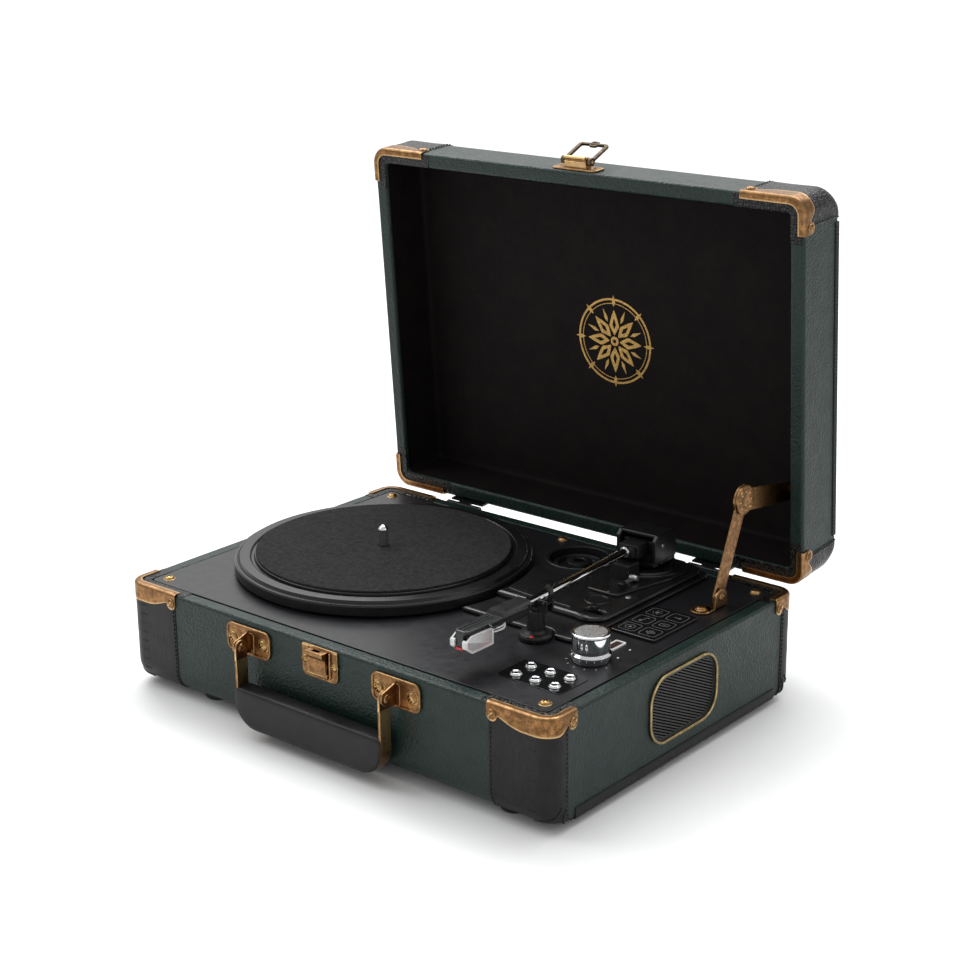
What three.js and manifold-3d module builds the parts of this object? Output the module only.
// Portable suitcase record player with its lid open, in millimetres.
// +X runs to the right along the front, +Y to the back and +Z up.
// The pieces are laid out from the middle of the case's underside; the last lines move
// the whole player so that its origin is the middle of the floor area that it covers.
import * as THREE from "three";
import { mergeVertices } from "three/addons/utils/BufferGeometryUtils.js";
import Module from "manifold-3d";

const wasm = await Module();
wasm.setup();

// ---------------------------------------------------------------- driving dimensions
const GAP = 0.3; // clearance between neighbouring pieces

const CASE_W = 380;
const CASE_D = 274.6;
const CASE_H = 72.7;
const WALL = 11;
const FLOOR = 8;
const CORNER_R = 12; // vertical corners of the case
const ROLL_R = 14; // rounded long edges of the wrapped case
const HOLLOW_R = 4; // upright corners inside
const CASE_FRONT = -CASE_D / 2;
const CASE_BACK = CASE_D / 2;
const FOOT_H = 5;
const FOOT_PLACES = { left: -124, right: 146, front: -117, rear: 117 };
const REST_CENTRE_Y = 17.886; // middle of the depth covered with the lid open

const LID_T = 44.3;
const LID_PANEL = 4;
const RIM_GAP = 2.6; // between the two rims with the lid shut
const LID_RIM_Z = CASE_H + RIM_GAP;
const LID_TOP_Z = LID_RIM_Z + LID_T;
const HINGE_Y = 141.1;
const HINGE_Z = 68.6;
const LID_OPEN_DEG = 86.1;
const HINGE_X = 115;
const HINGE_W = 32;
const BARREL_R = 3.3;

const DECK_T = 3;
const DECK_Z = CASE_H;
const PLATTER = { x: -71, y: 1, r: 107.5, gap: 1.4 };
const PLATTER_TOP = 85.2;
const MAT_T = 1.5;
const SPINDLE_R = 3.55;
const SPINDLE_TOP = 102.3;
const DRIVE_RIM_R = 80;
const PULLEY = { r: 5.6, distance: 92, angle: THREE.MathUtils.degToRad(128) };
const BELT_T = 0.8;
const WELL = { x: 32.5, y: 98.2, r: 21.9, depth: 12 };
const ADAPTER_R = 19;

const KNOB = { x: 151.8, y: -46.8, r: 12.8, h: 20 };
const BUTTON = { x: 144.6, y: -87.2, pitch: 15.3, r: 3.9, h: 3.5 };
const USB = { x: 150.5, y: -20, w: 6.8, l: 14.6 };

const LOWER_TIER_Z = 76.3;
const UPPER_TIER_Z = 80.3;
const THIRD_TIER_Z = 82.5;
const COLLAR_Z = 84;
const ARM_PIVOT = new THREE.Vector3(93, 96, 99.8);
const ARM_REST_DEG = 3.6; // the arm points this far outwards on its rest
const ARM_TUBE_R = 3;
const ARM_TUBE_END = 148;
const HEADSHELL_L = 65;
const REST_POST = { x: 101.5, y: -40 };
const CLIP = { x: 111.1, z: 100.4 };
const SPEED_SLOT = { x: 114, y: 7, travel: 5 };
const CUE = { x: 107.5, y: 62, z: 85.3 };

const HANDLE = { x: 65.1, y: -148, z: 57.8, bottom: 5.4, top: 31, width: 14 };
const BRACKET_X = 67;
const CATCH_Z = 53; // lower edge of the catch lever, where it turns
const LATCH = { y: -145, z: 83.5, length: 22 };
const HASP_REST_DEG = 20; // the hasp leans this far off the lid

const STAY = {
  foot: new THREE.Vector2(78.5, 80.7), // y and z of the pivot on the deck
  shut: new THREE.Vector2(79, 104.3), // y and z of the lid's pivot with the lid shut
  length: 68, // both arms, pivot to knuckle
  lowerX: 164.4,
  upperX: 166.4,
  plate: 1.6,
  disc: 10.5,
};

const SPEAKER = { y: 2, z: 40.1, w: 77, h: 48.4, r: 18 };
const JACKS = { x: 40, z: 31 };

// ---------------------------------------------------------------- materials
const finish = (color, roughness, metalness = 0) =>
  new THREE.MeshStandardMaterial({ color, roughness, metalness });
const MATERIAL = {
  leatherette: finish(0x2a3f38, 0.5),
  deck: finish(0x232225, 0.45),
  plastic: finish(0x1d1c1e, 0.5),
  brass: finish(0xa9855a, 0.42, 1),
  bronze: finish(0x4a3b2a, 0.5, 1),
  chrome: finish(0xd9dadb, 0.08, 1),
  rubber: finish(0x161616, 0.9),
  felt: finish(0x2b2a2c, 0.95),
  leather: finish(0x252526, 0.55),
  mesh: finish(0x3a393b, 0.6),
  guard: finish(0xe8e2e2, 0.35),
  board: finish(0x1f5a36, 0.6),
  steel: finish(0x8d8f92, 0.35, 1),
};

// ---------------------------------------------------------------- shape helpers
const player = new THREE.Group();
const lid = new THREE.Group(); // laid out shut, then turned open about the hinges

// A closed geometry as a solid that can be joined and cut.
function solid(geometry) {
  const plain = geometry.index ? geometry.toNonIndexed() : geometry.clone();
  for (const key of Object.keys(plain.attributes)) {
    if (key !== "position") plain.deleteAttribute(key);
  }
  const merged = mergeVertices(plain, 1e-4);
  return new wasm.Manifold(
    new wasm.Mesh({
      numProp: 3,
      vertProperties: merged.attributes.position.array,
      triVerts: new Uint32Array(merged.index.array),
    }),
  );
}

function geometryOf(body) {
  const mesh = body.getMesh();
  const geometry = new THREE.BufferGeometry();
  geometry.setAttribute("position", new THREE.BufferAttribute(mesh.vertProperties, 3));
  geometry.setIndex(new THREE.BufferAttribute(mesh.triVerts, 1));
  return geometry;
}

const join = (...bodies) => bodies.reduce((sum, body) => sum.add(body));
const cut = (body, ...tools) => tools.reduce((left, tool) => left.subtract(tool), body);

function box(x0, x1, y0, y1, z0, z1) {
  const geometry = new THREE.BoxGeometry(x1 - x0, y1 - y0, z1 - z0);
  geometry.translate((x0 + x1) / 2, (y0 + y1) / 2, (z0 + z1) / 2);
  return solid(geometry);
}

// A cylinder standing on Z between two heights.
function post(x, y, r, z0, z1, segments = 20, topR = r) {
  const geometry = new THREE.CylinderGeometry(topR, r, z1 - z0, segments);
  geometry.rotateX(Math.PI / 2);
  geometry.translate(x, y, (z0 + z1) / 2);
  return solid(geometry);
}

// A cylinder lying along X between two places.
function bar(x0, x1, y, z, r, segments = 16) {
  const geometry = new THREE.CylinderGeometry(r, r, x1 - x0, segments);
  geometry.rotateZ(-Math.PI / 2);
  geometry.translate((x0 + x1) / 2, y, z);
  return solid(geometry);
}

// A cylinder lying along Y between two places.
function rod(x, y0, y1, z, r, segments = 16) {
  const geometry = new THREE.CylinderGeometry(r, r, y1 - y0, segments);
  geometry.translate(x, (y0 + y1) / 2, z);
  return solid(geometry);
}

function roundedRect(width, height, r) {
  const shape = new THREE.Shape();
  const x = width / 2;
  const y = height / 2;
  shape.moveTo(-x + r, -y);
  shape.lineTo(x - r, -y);
  shape.absarc(x - r, -y + r, r, -Math.PI / 2, 0);
  shape.lineTo(x, y - r);
  shape.absarc(x - r, y - r, r, 0, Math.PI / 2);
  shape.lineTo(-x + r, y);
  shape.absarc(-x + r, y - r, r, Math.PI / 2, Math.PI);
  shape.lineTo(-x, -y + r);
  shape.absarc(-x + r, -y + r, r, Math.PI, 1.5 * Math.PI);
  return shape;
}

const outline = (points) => new THREE.Shape(points.map(([x, y]) => new THREE.Vector2(x, y)));

// A flat outline raised from z0 to z1, with its top edge chamfered by `bevel`.
function prism(shape, z0, z1, { bevel = 0, curveSegments = 5, x = 0, y = 0 } = {}) {
  const geometry = new THREE.ExtrudeGeometry(shape, {
    depth: z1 - z0 - bevel,
    bevelEnabled: bevel > 0,
    bevelThickness: bevel,
    bevelSize: bevel,
    bevelOffset: -bevel,
    bevelSegments: 1,
    curveSegments,
  });
  geometry.translate(x, y, z0);
  const body = solid(geometry);
  return bevel > 0 ? body.subtract(box(-500, 500, -500, 500, z0 - 50, z0)) : body;
}

// An outline drawn in Y and Z, thickened along X from x0 to x1.
function sheetAcrossX(shape, x0, x1, curveSegments = 6) {
  const geometry = new THREE.ExtrudeGeometry(shape, {
    depth: x1 - x0,
    bevelEnabled: false,
    curveSegments,
  });
  geometry.applyMatrix4(
    new THREE.Matrix4().makeBasis(
      new THREE.Vector3(0, 1, 0),
      new THREE.Vector3(0, 0, 1),
      new THREE.Vector3(1, 0, 0),
    ),
  );
  geometry.translate(x0, 0, 0);
  return solid(geometry);
}

// An outline drawn in X and Z, thickened along Y from y0 to y1.
function sheetAcrossY(shape, y0, y1, curveSegments = 6) {
  const geometry = new THREE.ExtrudeGeometry(shape, {
    depth: y1 - y0,
    bevelEnabled: false,
    curveSegments,
  });
  geometry.rotateX(Math.PI / 2);
  geometry.translate(0, y1, 0);
  return solid(geometry);
}

// A profile of [radius, height] pairs, spun about Z at (x, y).
function turned(profile, x, y, segments) {
  const points = profile.map(([r, z]) => new THREE.Vector2(r, z));
  if (profile[0][0] > 0) points.push(points[0].clone());
  const geometry = new THREE.LatheGeometry(points, segments);
  geometry.rotateX(Math.PI / 2);
  geometry.translate(x, y, 0);
  return solid(geometry);
}

function moved(body, x, y, z) {
  return body.translate([x, y, z]);
}

// ---------------------------------------------------------------- case and lid shells
// The wrap: a block rounded on its two long edges at height `rollZ` and on its upright corners.
function wrappedBlock(z0, z1, rollAtTop) {
  const y = CASE_D / 2;
  const roll = rollAtTop ? z1 : z0;
  const flat = rollAtTop ? z0 : z1;
  const turn = rollAtTop ? -1 : 1;
  const side = new THREE.Shape();
  side.moveTo(-y, flat);
  side.lineTo(-y, roll + turn * ROLL_R);
  side.absarc(-y + ROLL_R, roll + turn * ROLL_R, ROLL_R, Math.PI, turn * 1.5 * Math.PI, rollAtTop);
  side.lineTo(y - ROLL_R, roll);
  side.absarc(y - ROLL_R, roll + turn * ROLL_R, ROLL_R, -turn * 0.5 * Math.PI, 0, rollAtTop);
  side.lineTo(y, flat);
  const long = sheetAcrossX(side, -CASE_W / 2, CASE_W / 2, 5);
  const upright = prism(roundedRect(CASE_W, CASE_D, CORNER_R), z0, z1, { curveSegments: 4 });
  return long.intersect(upright);
}

function buildBaseShell() {
  const hollow = prism(
    roundedRect(CASE_W - 2 * WALL, CASE_D - 2 * WALL, HOLLOW_R),
    FLOOR, CASE_H + 5, { curveSegments: 2 });
  const speakerHole = sheetAcrossX(
    roundedRect(SPEAKER.w - 8, SPEAKER.h - 8, SPEAKER.r - 4), -CASE_W, CASE_W, 4);
  const jackHole = box(JACKS.x - 32, JACKS.x + 32, CASE_BACK - WALL - 1, CASE_BACK + 1,
    JACKS.z - 9, JACKS.z + 9);
  return cut(wrappedBlock(0, CASE_H, false), hollow,
    moved(speakerHole, 0, SPEAKER.y, SPEAKER.z), jackHole);
}

function buildLidShell() {
  const hollow = prism(
    roundedRect(CASE_W - 2 * WALL, CASE_D - 2 * WALL, HOLLOW_R),
    LID_RIM_Z - 5, LID_TOP_Z - LID_PANEL, { curveSegments: 2 });
  return cut(wrappedBlock(LID_RIM_Z, LID_TOP_Z, true), hollow);
}

// A brass bracket wrapped round one rim corner: an outer wall with a lobe at each end, and a
// flange lying on the rim. `up` is 1 on the case, whose rim faces up, and -1 on the lid.
function cornerBracket(sx, sy, rimZ, up) {
  const thickness = 0.8;
  const depth = 9;
  const lobe = 4.2;
  const legX = 49;
  const legY = 25;
  const ring = (grow) => roundedRect(CASE_W + 2 * grow, CASE_D + 2 * grow, CORNER_R + grow);
  const span = (a, b) => [Math.min(a, b), Math.max(a, b)];
  const at = (shape, a, b) => prism(shape, ...span(rimZ + up * a, rimZ + up * b));
  const outer = GAP + thickness;
  const wall = cut(at(ring(outer), -depth, GAP + thickness), at(ring(GAP), -20, 20));
  const flange = cut(at(ring(outer), GAP, GAP + thickness), at(ring(-3.6), -20, 20));
  const x = sx * CASE_W / 2;
  const y = sy * CASE_D / 2;
  const cornerBox = box(...span(x - sx * legX, x + sx * 5), ...span(y - sy * legY, y + sy * 5),
    ...span(rimZ - up * 20, rimZ + up * 5));
  const lobeZ = rimZ - up * 7;
  const frontLobe = rod(x - sx * (legX - lobe), ...span(y + sy * GAP, y + sy * outer), lobeZ, lobe, 12);
  const sideLobe = bar(...span(x + sx * GAP, x + sx * outer), y - sy * (legY - lobe), lobeZ, lobe, 12);
  return join(wall.add(flange).intersect(cornerBox), frontLobe, sideLobe);
}

// ---------------------------------------------------------------- deck and drive
const pulleyX = PLATTER.x + PULLEY.distance * Math.cos(PULLEY.angle);
const pulleyY = PLATTER.y + PULLEY.distance * Math.sin(PULLEY.angle);
const buttonPlaces = [];
for (const row of [-0.5, 0.5]) {
  for (const column of [-1, 0, 1]) {
    buttonPlaces.push([BUTTON.x + column * BUTTON.pitch, BUTTON.y + row * BUTTON.pitch]);
  }
}

function buildDeck() {
  const under = DECK_Z - DECK_T;
  const plate = prism(
    roundedRect(CASE_W - 2 * WALL - 2 * GAP, CASE_D - 2 * WALL - 2 * GAP, HOLLOW_R - GAP),
    under, DECK_Z, { curveSegments: 2 });
  const bearing = post(PLATTER.x, PLATTER.y, 9, under - 20, under + 1, 16);
  const cup = post(WELL.x, WELL.y, WELL.r + 2, DECK_Z - WELL.depth, under + 1, 32);
  const holes = [
    post(PLATTER.x, PLATTER.y, SPINDLE_R + 0.4, 0, 200),
    post(pulleyX, pulleyY, 4, 0, 200, 12),
    post(WELL.x, WELL.y, WELL.r, DECK_Z - WELL.depth + 2, 200, 32),
    post(KNOB.x, KNOB.y, 3.4, 0, 200, 16),
    box(USB.x - USB.w / 2 - GAP, USB.x + USB.w / 2 + GAP,
      USB.y - USB.l / 2 - GAP, USB.y + USB.l / 2 + GAP, 0, 200),
    box(SPEED_SLOT.x - 8, SPEED_SLOT.x + 8, SPEED_SLOT.y - 2.4, SPEED_SLOT.y + 2.4, 0, 200),
    post(ARM_PIVOT.x, ARM_PIVOT.y, 8, 0, 200, 16),
    ...buttonPlaces.map(([x, y]) => post(x, y, BUTTON.r + 0.4, 0, 200, 12)),
  ];
  return cut(join(plate, bearing, cup), ...holes);
}

function buildPlatter() {
  const bottom = DECK_Z + PLATTER.gap;
  const rimTop = PLATTER_TOP - 3.1;
  const ringTop = PLATTER_TOP - 1;
  const plateUnder = PLATTER_TOP - 4.4;
  return turned([
    [SPINDLE_R + 0.4, bottom + 1], [13, bottom + 1], [13, plateUnder],
    [DRIVE_RIM_R - 2.5, plateUnder], [DRIVE_RIM_R - 2.5, bottom + 1], [DRIVE_RIM_R, bottom + 1],
    [DRIVE_RIM_R, plateUnder], [PLATTER.r - 3, plateUnder - 1.5], [PLATTER.r - 3, bottom],
    [PLATTER.r, bottom], [PLATTER.r, rimTop - 1],
    [PLATTER.r - 0.9, rimTop], [PLATTER.r - 3.4, rimTop], [PLATTER.r - 4, rimTop - 0.5],
    [PLATTER.r - 4.8, ringTop], [PLATTER.r - 11.2, ringTop],
    [PLATTER.r - 11.6, ringTop - 1], [PLATTER.r - 12.5, ringTop - 1],
    [PLATTER.r - 12.8, PLATTER_TOP], [SPINDLE_R + 0.4, PLATTER_TOP],
  ], PLATTER.x, PLATTER.y, 48);
}

function buildSlipmat() {
  const z = PLATTER_TOP + GAP;
  return turned([
    [SPINDLE_R + 0.5, z], [92.5, z], [92.5, z + MAT_T], [SPINDLE_R + 0.5, z + MAT_T],
  ], PLATTER.x, PLATTER.y, 48);
}

function buildSpindle() {
  return turned([
    [0, DECK_Z - 20], [SPINDLE_R - 0.6, DECK_Z - 20], [SPINDLE_R, DECK_Z - 19.2],
    [SPINDLE_R, SPINDLE_TOP - 4.6], [SPINDLE_R - 0.9, SPINDLE_TOP - 2.2],
    [SPINDLE_R - 2.2, SPINDLE_TOP - 0.6], [0, SPINDLE_TOP],
  ], PLATTER.x, PLATTER.y, 20);
}

const BELT_Z0 = DECK_Z + 2.9;
const BELT_Z1 = BELT_Z0 + 3.6;

function buildPulley() {
  return turned([
    [0, DECK_Z - 2.8], [1.5, DECK_Z - 2.8], [1.5, BELT_Z0 - 1.2], [PULLEY.r + 1, BELT_Z0 - 1.2],
    [PULLEY.r + 1, BELT_Z0 - 0.3], [PULLEY.r, BELT_Z0], [PULLEY.r, BELT_Z1],
    [0, BELT_Z1],
  ], pulleyX, pulleyY, 24);
}

// The loop that wraps two round pulleys, grown outwards by `grow`.
function beltOutline(grow) {
  const big = DRIVE_RIM_R + GAP + grow;
  const small = PULLEY.r + GAP + grow;
  const lean = Math.acos((big - small) / PULLEY.distance);
  const shape = new THREE.Shape();
  shape.absarc(0, 0, big, lean, 2 * Math.PI - lean);
  shape.absarc(PULLEY.distance, 0, small, -lean, lean);
  return shape;
}

function buildBelt() {
  const loop = (grow, z0, z1) => prism(beltOutline(grow), z0, z1, { curveSegments: 22 });
  const band = loop(BELT_T, BELT_Z0, BELT_Z1).subtract(loop(0, 0, 200));
  const turnedBand = band.rotate([0, 0, THREE.MathUtils.radToDeg(PULLEY.angle)]);
  return moved(turnedBand, PLATTER.x, PLATTER.y, 0);
}

function buildMotor() {
  const top = DECK_Z - DECK_T - GAP;
  const body = post(pulleyX, pulleyY, 16, top - 24, top - 1.5, 24);
  const flange = prism(
    roundedRect(46, 16, 7), top - 1.5, top, { x: pulleyX, y: pulleyY, curveSegments: 4 });
  return body.add(flange);
}

function buildAdapter() {
  const z = DECK_Z - WELL.depth + 2 + GAP;
  return turned([
    [3.7, z], [ADAPTER_R - 0.8, z], [ADAPTER_R, z + 0.8], [ADAPTER_R, z + 5.2],
    [ADAPTER_R - 2.6, z + 6.4], [ADAPTER_R - 3.6, z + 3.4], [10.6, z + 3.4],
    [9.6, z + 7.4], [5.4, z + 8.2], [3.7, z + 8.2],
  ], WELL.x, WELL.y, 28);
}

function buildCircuitBoard() {
  const z = 63.2;
  const board = box(112, 176, -106, -8, z, z + 1.6);
  const switches = buttonPlaces.map(([x, y]) => box(x - 3, x + 3, y - 3, y + 3, z + 1, z + 2.6));
  const control = box(KNOB.x - 7, KNOB.x + 7, KNOB.y - 7, KNOB.y + 7, z + 1, z + 2.9);
  const socket = box(USB.x - USB.w / 2, USB.x + USB.w / 2,
    USB.y - USB.l / 2, USB.y + USB.l / 2, z + 1, DECK_Z + 0.8);
  const shell = 0.6; // sheet metal round the socket
  const tongue = 1.1; // half its thickness
  const mouth = (x0, x1) => box(x0, x1, USB.y - USB.l / 2 + shell, USB.y + USB.l / 2 - shell,
    DECK_Z - 7, DECK_Z + 2);
  return cut(
    join(board, control, socket, ...switches),
    mouth(USB.x - USB.w / 2 + shell, USB.x - tongue),
    mouth(USB.x + tongue, USB.x + USB.w / 2 - shell),
  );
}

// ---------------------------------------------------------------- controls
function buildKnob() {
  const z = DECK_Z + GAP;
  const top = DECK_Z + KNOB.h;
  return turned([
    [0, DECK_Z - 6], [2.9, DECK_Z - 6], [2.9, z], [KNOB.r - 0.6, z], [KNOB.r - 0.2, z + 2.4],
    [KNOB.r + 0.6, z + 4], [KNOB.r + 0.6, z + 5.2], [KNOB.r - 0.9, z + 6.4],
    [KNOB.r - 0.3, top - 2], [KNOB.r, top - 1], [KNOB.r - 0.8, top], [KNOB.r - 2.4, top - 0.3],
    [0, top - 0.6],
  ], KNOB.x, KNOB.y, 28);
}

function buildButton([x, y]) {
  const top = DECK_Z + BUTTON.h;
  return turned([
    [0, DECK_Z - 5.7], [1.6, DECK_Z - 5.7], [1.6, DECK_Z - 2.2], [BUTTON.r, DECK_Z - 2.2],
    [BUTTON.r, top - 1], [BUTTON.r - 1.1, top], [0, top - 0.5],
  ], x, y, 14);
}

function buildSpeedSelector() {
  const { x, y } = SPEED_SLOT;
  const stem = box(x - 1.4, x + 1.4, y - 1.3, y + 1.3, DECK_Z - 8, UPPER_TIER_Z + 1);
  const cap = prism(
    roundedRect(5, 6, 1.2), UPPER_TIER_Z + 0.4, UPPER_TIER_Z + 4,
    { x, y, bevel: 0.6, curveSegments: 2 });
  return stem.add(cap);
}

function buildCueLever() {
  const { x, y, z } = CUE;
  const hub = bar(x - 3.7, x + 2.6, y, z, 2.2, 12);
  const arm = box(x - 1.2, x + 1.2, y - 14, y, z - 0.9, z + 0.9);
  const tip = prism(
    roundedRect(5, 6, 1.4), z - 1.2, z + 1.6, { x, y: y - 15, bevel: 0.5, curveSegments: 2 });
  return join(hub, arm, tip);
}

// ---------------------------------------------------------------- tonearm
function buildPlinth() {
  const lower = prism(
    roundedRect(130, 159, 9), DECK_Z + GAP, LOWER_TIER_Z,
    { x: 65.4, y: 44.5, bevel: 2.6, curveSegments: 3 });
  const upper = prism(
    roundedRect(126, 129, 14), LOWER_TIER_Z - 0.5, UPPER_TIER_Z,
    { x: 64.4, y: 58, bevel: 2.6, curveSegments: 3 });
  const third = prism(outline([
    [88, 34], [112, 34], [123, 84], [123, 104], [112, 118], [76, 118], [72, 104], [72, 60],
  ]), UPPER_TIER_Z - 0.5, THIRD_TIER_Z, { bevel: 1.2 });
  const collar = post(ARM_PIVOT.x, ARM_PIVOT.y, 24, THIRD_TIER_Z - 0.5, COLLAR_Z, 28, 20);
  const liftBlock = box(88, 103.5, 60, 74, THIRD_TIER_Z - 0.5, 93.5);
  const wellBay = box(-20, 72, 50, 140, 0, 200);
  const frontStep = box(-20, 116, -60, -5, LOWER_TIER_Z, 200);
  const body = join(lower, upper, third, collar, liftBlock);
  return cut(body, wellBay, frontStep,
    post(PLATTER.x, PLATTER.y, PLATTER.r + 3, 0, 200, 64),
    post(ARM_PIVOT.x, ARM_PIVOT.y, 5.4, 0, 200, 16),
    post(REST_POST.x, REST_POST.y, 12.2, 0, 200, 24),
    post(104, 24, 8, UPPER_TIER_Z - 1, 200, 24),
    box(SPEED_SLOT.x - 8, SPEED_SLOT.x + 8, SPEED_SLOT.y - 2.4, SPEED_SLOT.y + 2.4, 0, 200));
}

function buildRestPost() {
  const { x, y } = REST_POST;
  const flange = turned([
    [0, DECK_Z + GAP], [11.6, DECK_Z + GAP], [11.6, DECK_Z + 3], [10.6, DECK_Z + 4.6],
    [0, DECK_Z + 4.6],
  ], x, y, 24);
  const column = post(x, y, 6, DECK_Z + 3, 93, 20, 5.4);
  const shelf = box(x - 5, x + 6.6, y - 4, y + 4, 92.5, 95.8);
  const cheek = (y0, y1) => box(x + 4.3, CLIP.x + 2.4, y0, y1, 93.5, CLIP.z + 1.6);
  const pin = rod(CLIP.x, y - 4, y + 4, CLIP.z, 0.8, 10);
  return join(flange, column, shelf, cheek(y - 4, y - 2.4), cheek(y + 2.4, y + 4), pin);
}

// The clip stands open outside the arm; it turns about Y to close over the tube.
function buildClip() {
  const hook = outline([
    [-1.4, 0], [0, -1.4], [2, -0.6], [3.4, 2.6], [4.2, 6.4], [3, 10.2], [0.4, 12.2], [-0.4, 11],
    [1.5, 9.2], [2.2, 6.4], [1.2, 3.2], [-0.6, 1.8],
  ]);
  const body = moved(sheetAcrossY(hook, -2, 2), CLIP.x, REST_POST.y, CLIP.z);
  const hub = rod(CLIP.x, REST_POST.y - 2, REST_POST.y + 2, CLIP.z, 2.4, 12);
  const bore = rod(CLIP.x, REST_POST.y - 9, REST_POST.y + 9, CLIP.z, 1.1, 10);
  return cut(body.add(hub), bore);
}

const armFrame = new THREE.Group();
const headFrame = new THREE.Group();

function buildTurret() {
  const base = join(post(0, 0, 13, -15.5, -11.8, 20), box(-16, 16, -14, 14, -13.4, -10.6));
  const shaft = post(0, 0, 4.6, -30, -14, 16);
  const cheek = (x0, x1) => box(x0, x1, -14, 14, -11, 9.2);
  const bridge = prism(roundedRect(32, 28, 2), 6.6, 9.2, { bevel: 0.8, curveSegments: 2 });
  return join(base, shaft, cheek(-16, -13.2), cheek(13.2, 16), bridge);
}

function buildTube() {
  const block = box(-12.8, 12.8, -10, 8, -5.5, 4);
  return block.add(rod(0, -ARM_TUBE_END, -9, 0, ARM_TUBE_R, 16));
}

function buildHeadshell() {
  const plan = outline([
    [-4.6, 0], [-7, -6], [-6.6, -44], [-5.4, -62], [-3.4, -HEADSHELL_L], [3.4, -HEADSHELL_L],
    [5.4, -62], [6.6, -44], [7, -6], [4.6, 0],
  ]);
  const top = prism(plan, -0.2, 3.5, { bevel: 0.8 });
  const rear = box(-5.6, 5.6, -35, -2, -4.6, 1);
  return top.add(rear);
}

function buildCartridge() {
  const body = box(-5, 5, -63, -38, -8.4, -0.5);
  const carrier = box(-2.4, 2.4, -61, -46, -9.8, -8);
  const needle = post(0, -57, 0.9, -11, -9, 8, 1.4);
  return join(body, carrier, needle);
}

function buildGuard() {
  const side = outline([
    [-HEADSHELL_L - 1.6, -2.6], [-HEADSHELL_L - 1.6, -8], [-HEADSHELL_L + 4, -12.4],
    [-40, -12.4], [-40, -0.5], [-HEADSHELL_L + 0.6, -0.5],
  ]);
  const shell = sheetAcrossX(side, -6.5, 6.5);
  return cut(shell, box(-5.4, 5.4, -HEADSHELL_L - 0.2, -30, -11.4, 5));
}

// ---------------------------------------------------------------- case fittings
function plateOnFront(shape, x, z, y0 = CASE_FRONT - GAP - 1.2, y1 = CASE_FRONT - GAP) {
  return moved(sheetAcrossY(shape, y0, y1, 3), x, 0, z);
}

function buildHandleBracket(side) {
  const plate = plateOnFront(roundedRect(41.5, 20, 5), side * BRACKET_X, 58.8);
  const ear = new THREE.Shape();
  ear.moveTo(CASE_FRONT - 0.8, 66);
  ear.lineTo(CASE_FRONT - 0.8, 50.5);
  ear.lineTo(HANDLE.y, HANDLE.z - 5.4);
  ear.absarc(HANDLE.y, HANDLE.z, 5.4, 1.5 * Math.PI, 0.75 * Math.PI, true);
  const inner = side * (HANDLE.x + 1.3);
  const outer = side * (HANDLE.x + 2.7);
  const tab = sheetAcrossX(ear, Math.min(inner, outer), Math.max(inner, outer));
  const pinEnd = side * (HANDLE.x - 1.6);
  const pin = bar(Math.min(pinEnd, outer), Math.max(pinEnd, outer), HANDLE.y, HANDLE.z, 1.6, 12);
  return join(plate, tab, pin);
}

// The brass strap: two flat arms that hang from the brackets and run on round the grip.
function buildStrap() {
  const t = 1.8;
  const x = HANDLE.x + t / 2;
  const strapPath = (inset) => {
    const r = 18 - inset;
    const edge = x - inset;
    const shape = new THREE.Shape();
    shape.moveTo(-edge, HANDLE.z + 5.5);
    shape.lineTo(-edge, HANDLE.bottom - t - GAP + 18);
    shape.absarc(-edge + r, HANDLE.bottom - t - GAP + inset + r, r, Math.PI, 1.5 * Math.PI);
    shape.lineTo(edge - r, HANDLE.bottom - t - GAP + inset);
    shape.absarc(edge - r, HANDLE.bottom - t - GAP + inset + r, r, 1.5 * Math.PI, 2 * Math.PI);
    shape.lineTo(edge, HANDLE.z + 5.5);
    return shape;
  };
  const y0 = HANDLE.y - HANDLE.width / 2;
  const y1 = HANDLE.y + HANDLE.width / 2;
  const outer = sheetAcrossY(strapPath(0), y0, y1, 5);
  const inner = sheetAcrossY(strapPath(t), y0 - 5, y1 + 5, 5);
  const overTop = box(-x + t, x - t, y0 - 5, y1 + 5, HANDLE.top, HANDLE.z + 20);
  const bores = bar(-x - 5, x + 5, HANDLE.y, HANDLE.z, 2, 12);
  return cut(outer, inner, overTop, bores);
}

function buildGrip() {
  const x = HANDLE.x - 0.9 - GAP;
  const shape = new THREE.Shape();
  const r = 15.9;
  shape.moveTo(-x, HANDLE.top);
  shape.lineTo(-x, HANDLE.bottom + r);
  shape.absarc(-x + r, HANDLE.bottom + r, r, Math.PI, 1.5 * Math.PI);
  shape.lineTo(x - r, HANDLE.bottom);
  shape.absarc(x - r, HANDLE.bottom + r, r, 1.5 * Math.PI, 2 * Math.PI);
  shape.lineTo(x, HANDLE.top);
  return sheetAcrossY(shape, HANDLE.y - 6.5, HANDLE.y + 6.5, 6);
}

function buildCatchPlate() {
  return plateOnFront(roundedRect(32, 22.6, 4), 0, 60.3);
}

// The lever hangs on its lower edge; its lip holds the hasp's bar down.
function buildCatchLever() {
  const back = CASE_FRONT - 1.8;
  const body = box(-8.7, 8.7, back - 2.6, back, CATCH_Z, 66.4);
  const lip = box(-8.7, 8.7, back - 5.9, back, 66.2, 70);
  return cut(body.add(lip), box(-4.6, 4.6, back - 4.8, back + 1, 60, 80));
}

function buildLatchPlate() {
  const plate = plateOnFront(roundedRect(39, 13, 2.5), 0, LATCH.z + 0.5);
  const housing = box(-9.6, 9.6, LATCH.y - 1.4, CASE_FRONT - 1, LATCH.z - 4.4, LATCH.z + 4);
  const pin = bar(-13.2, 13.2, LATCH.y + 1.6, LATCH.z, 1.2, 12);
  return join(plate, housing, pin);
}

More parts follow.
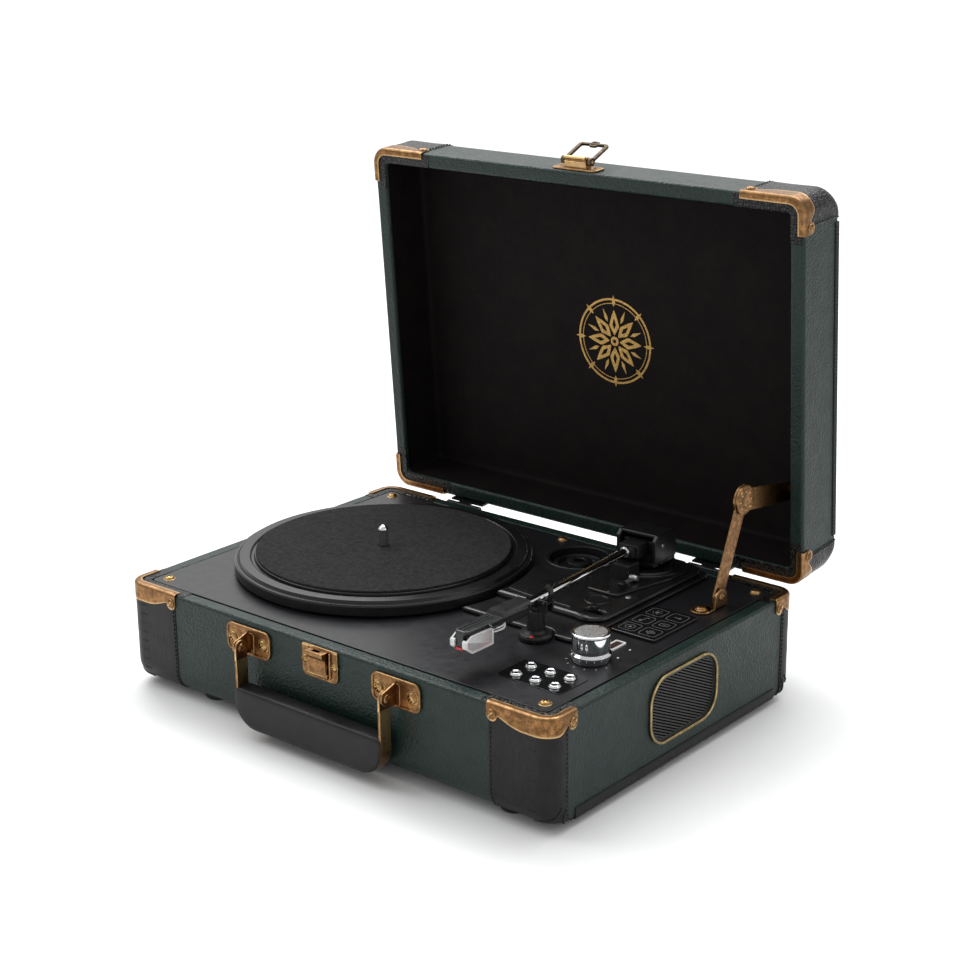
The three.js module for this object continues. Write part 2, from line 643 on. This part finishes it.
function buildHasp() {
  const y = LATCH.y + 1.6;
  const frame = plateOnFront(
    roundedRect(26.4, LATCH.length + 3, 2), 0, LATCH.z + LATCH.length / 2 - 1.5,
    y - 1.1, y + 1.1);
  const opening = box(-10.2, 10.2, y - 5, y + 5, LATCH.z - 10, LATCH.z + LATCH.length - 4);
  const ears = [-1, 1].map((side) => {
    const [x0, x1] = side > 0 ? [10.2, 13.2] : [-13.2, -10.2];
    return bar(x0, x1, y, LATCH.z, 3, 14);
  });
  const tab = box(-3.4, 3.4, y - 1.1, y + 1.1,
    LATCH.z + LATCH.length - 4.2, LATCH.z + LATCH.length + 2.4);
  const bores = bar(-20, 20, y, LATCH.z, 1.5, 12);
  const flat = cut(join(frame.subtract(opening), ...ears, tab), bores);
  return moved(moved(flat, 0, -y, -LATCH.z).rotate([HASP_REST_DEG, 0, 0]), 0, y, LATCH.z);
}

function buildBaseLeaf(x) {
  const half = HINGE_W / 2;
  const y0 = CASE_BACK + GAP;
  const knuckle = HINGE_W * 0.18;
  const plate = box(x - half, x + half, y0, y0 + 1.4, 42, HINGE_Z);
  const recess = box(x - knuckle, x + knuckle, y0 - 1, HINGE_Y + 9,
    HINGE_Z - BARREL_R - GAP, HINGE_Z + 20);
  const barrel = bar(x - half, x + half, HINGE_Y, HINGE_Z, BARREL_R, 16);
  const pin = bar(x - half, x + half, HINGE_Y, HINGE_Z, 1.3, 12);
  return join(cut(join(plate, barrel), recess), pin);
}

function buildLidLeaf(x) {
  const half = HINGE_W / 2;
  const y0 = CASE_BACK + GAP;
  const knuckle = HINGE_W * 0.18 - GAP;
  const plate = join(
    box(x - half, x + half, y0, y0 + 1.4, HINGE_Z + BARREL_R + 1, 96),
    box(x - knuckle, x + knuckle, y0, y0 + 1.4, HINGE_Z, 80),
  );
  const barrel = bar(x - knuckle, x + knuckle, HINGE_Y, HINGE_Z, BARREL_R, 16);
  return cut(join(plate, barrel), bar(x - 40, x + 40, HINGE_Y, HINGE_Z, 1.65, 12));
}

// ---------------------------------------------------------------- lid stay
// The knuckle is where the two equal arms meet with the lid open.
const hinge = new THREE.Vector2(HINGE_Y, HINGE_Z);
const lidTurn = THREE.MathUtils.degToRad(-LID_OPEN_DEG);
const stayLidPivot = STAY.shut.clone().rotateAround(hinge, lidTurn);

function knuckleOf(foot, head) {
  const across = head.clone().sub(foot);
  const rise = Math.sqrt(STAY.length ** 2 - across.lengthSq() / 4);
  const up = new THREE.Vector2(-across.y, across.x).normalize().multiplyScalar(rise);
  return foot.clone().add(head).multiplyScalar(0.5).add(up);
}
const stayKnuckle = knuckleOf(STAY.foot, stayLidPivot);

// A flat arm between two round ends, in the Y-Z plane.
function armOutline(from, to, r0, r1) {
  const along = to.clone().sub(from);
  const angle = Math.atan2(along.y, along.x);
  const shape = new THREE.Shape();
  shape.absarc(from.x, from.y, r0, angle + Math.PI / 2, angle + 1.5 * Math.PI);
  shape.absarc(to.x, to.y, r1, angle - Math.PI / 2, angle + Math.PI / 2);
  return shape;
}

function buildStayFoot() {
  const z = DECK_Z + GAP;
  const washer = post(160.4, 65.5, 7.6, z, z + 1.5, 20);
  const strap = box(160.4, STAY.upperX + STAY.plate, 66, 84, z, z + 1.5);
  const ear = new THREE.Shape();
  ear.moveTo(70.5, z);
  ear.lineTo(86.2, z);
  ear.lineTo(STAY.foot.x + 6.6, STAY.foot.y);
  ear.absarc(STAY.foot.x, STAY.foot.y, 6.6, 0, Math.PI);
  const tab = sheetAcrossX(ear, STAY.upperX, STAY.upperX + STAY.plate, 6);
  const pin = bar(STAY.lowerX - 0.6, STAY.upperX + 1, STAY.foot.x, STAY.foot.y, 1.6, 12);
  return join(washer, strap, tab, pin);
}

function buildStayLower() {
  const x1 = STAY.lowerX + STAY.plate;
  const arm = sheetAcrossX(armOutline(STAY.foot, stayKnuckle, 6.1, 6.1), STAY.lowerX, x1, 6);
  const disc = bar(STAY.lowerX, x1, stayKnuckle.x, stayKnuckle.y, STAY.disc, 28);
  const bore = bar(STAY.lowerX - 5, x1 + 5, STAY.foot.x, STAY.foot.y, 1.95, 12);
  return arm.add(disc).subtract(bore);
}

function buildStayUpper() {
  const x1 = STAY.upperX + STAY.plate;
  const arm = sheetAcrossX(armOutline(stayKnuckle, stayLidPivot, 8.3, 6.4), STAY.upperX, x1, 6);
  const disc = bar(STAY.upperX, x1, stayKnuckle.x, stayKnuckle.y, STAY.disc, 28);
  const stud = bar(STAY.upperX + 1, CASE_W / 2 - WALL - GAP, stayLidPivot.x, stayLidPivot.y, 3.2, 14);
  return join(arm, disc, stud);
}

// ---------------------------------------------------------------- speakers, jacks, feet
function buildGrille(side) {
  const face = CASE_W / 2;
  const slab = (w, h, r, x0, x1) => {
    const body = sheetAcrossX(roundedRect(w, h, r), x0, x1, 4);
    return moved(body, 0, SPEAKER.y, SPEAKER.z);
  };
  const { w, h, r } = SPEAKER;
  const ring = cut(slab(w, h, r, face + GAP, face + 2), slab(w - 9, h - 9, r - 4.5, 0, 300));
  const sleeve = cut(slab(w - 8.6, h - 8.6, r - 4.3, face - 5, face + 1),
    slab(w - 12, h - 12, r - 6, 0, 300));
  const mesh = slab(w - 10, h - 10, r - 5, face - 4.4, face - 3);
  const slots = [];
  for (let z = -12; z <= 12; z += 6) {
    slots.push(box(face - 4.6, face - 2.8, SPEAKER.y - 26, SPEAKER.y + 26,
      SPEAKER.z + z - 1.5, SPEAKER.z + z + 1.5));
  }
  const right = cut(join(ring, sleeve, mesh), ...slots);
  return side > 0 ? right : right.mirror([1, 0, 0]);
}

function buildDriver(side) {
  const face = CASE_W / 2 - WALL - GAP;
  const frame = turned([[0, -27], [12, -27], [12, -16], [21.5, -3], [22, 0], [0, 0]], 0, 0, 24);
  const turnedFrame = frame.rotate([0, 90, 0]);
  const right = moved(turnedFrame, face, SPEAKER.y, SPEAKER.z);
  return side > 0 ? right : right.mirror([1, 0, 0]);
}

function buildJackPanel() {
  const { x, z } = JACKS;
  const y0 = CASE_BACK + GAP;
  const plate = moved(sheetAcrossY(roundedRect(70, 24, 3), y0, y0 + 1.6, 3), x, 0, z);
  const tray = box(x - 30, x + 30, CASE_BACK - 9, y0 + 1, z - 7, z + 7);
  const jackX = [x + 24, x + 10];
  const jacks = jackX.map((at) => rod(at, y0 + 1, y0 + 8, z, 4.1, 16));
  const holes = jackX.map((at) => rod(at, y0 + 2, y0 + 20, z, 1.8, 10));
  const headphone = rod(x - 6, y0 - 6, y0 + 20, z, 1.8, 12);
  const pin = rod(x - 21, y0 - 7, y0 + 1.2, z, 1.1, 8);
  const inlet = cut(rod(x - 21, y0 - 6, y0 + 20, z, 3.2, 16), pin);
  return cut(join(plate, tray, ...jacks), ...holes, headphone, inlet);
}

function buildFoot(x, y) {
  return turned([
    [0, -FOOT_H], [8.6, -FOOT_H], [9.6, -FOOT_H + 1], [10.2, -GAP], [0, -GAP],
  ], x, y, 22);
}

// ---------------------------------------------------------------- assembly
function add(name, body, material, parent = player) {
  const mesh = new THREE.Mesh(geometryOf(body), MATERIAL[material]);
  mesh.name = name;
  parent.add(mesh);
}

add("base_shell", buildBaseShell(), "leatherette");
add("deck_plate", buildDeck(), "deck");
add("platter", buildPlatter(), "plastic");
add("slipmat", buildSlipmat(), "felt");
add("spindle", buildSpindle(), "chrome");
add("motor_pulley", buildPulley(), "brass");
add("drive_belt", buildBelt(), "rubber");
add("motor", buildMotor(), "steel");
add("adapter_45", buildAdapter(), "plastic");
add("circuit_board", buildCircuitBoard(), "board");
add("volume_knob", buildKnob(), "chrome");
buttonPlaces.forEach((spot, i) => add("push_button_" + (i + 1), buildButton(spot), "chrome"));
add("speed_selector", buildSpeedSelector(), "plastic");
add("cue_lever", buildCueLever(), "steel");
add("tonearm_plinth", buildPlinth(), "plastic");
add("arm_rest_post", buildRestPost(), "plastic");
add("arm_rest_clip", buildClip(), "plastic");
add("stay_foot", buildStayFoot(), "brass");
add("stay_lower_arm", buildStayLower(), "brass");
add("stay_upper_arm", buildStayUpper(), "brass");
add("catch_plate", buildCatchPlate(), "brass");
add("catch_lever", buildCatchLever(), "brass");
add("handle_strap", buildStrap(), "brass");
add("handle_grip", buildGrip(), "leather");
add("rear_jack_panel", buildJackPanel(), "plastic");

add("tonearm_turret", buildTurret(), "plastic", armFrame);
add("tonearm_tube", buildTube(), "chrome", armFrame);
add("headshell", buildHeadshell(), "plastic", headFrame);
add("cartridge", buildCartridge(), "plastic", headFrame);
add("stylus_guard", buildGuard(), "guard", headFrame);
armFrame.position.copy(ARM_PIVOT);
armFrame.rotation.z = THREE.MathUtils.degToRad(ARM_REST_DEG);
headFrame.position.y = -ARM_TUBE_END - GAP;
headFrame.rotation.z = THREE.MathUtils.degToRad(-ARM_REST_DEG);
armFrame.add(headFrame);
player.add(armFrame);

add("lid_shell", buildLidShell(), "leatherette", lid);
add("latch_plate", buildLatchPlate(), "brass", lid);
add("latch_hasp", buildHasp(), "bronze", lid);
for (const [side, sx] of [["left", -1], ["right", 1]]) {
  add("speaker_grille_" + side, buildGrille(sx), "mesh");
  add("speaker_driver_" + side, buildDriver(sx), "plastic");
  add("handle_bracket_" + side, buildHandleBracket(sx), "brass");
  add("hinge_base_leaf_" + side, buildBaseLeaf(sx * HINGE_X), "bronze");
  add("hinge_lid_leaf_" + side, buildLidLeaf(sx * HINGE_X), "bronze", lid);
  for (const [end, sy] of [["front", -1], ["rear", 1]]) {
    const where = end + "_" + side;
    add("base_corner_" + where, cornerBracket(sx, sy, CASE_H, 1), "brass");
    add("lid_corner_" + where, cornerBracket(sx, sy, LID_RIM_Z, -1), "brass", lid);
    add("foot_" + where, buildFoot(FOOT_PLACES[side], FOOT_PLACES[end]), "rubber");
  }
}

// The lid group turns about the hinge axis from shut to open.
lid.position.set(0, HINGE_Y, HINGE_Z);
lid.rotation.x = lidTurn;
for (const mesh of lid.children) mesh.position.set(0, -HINGE_Y, -HINGE_Z);
player.add(lid);

player.position.set(0, -REST_CENTRE_Y, FOOT_H);

export default player;
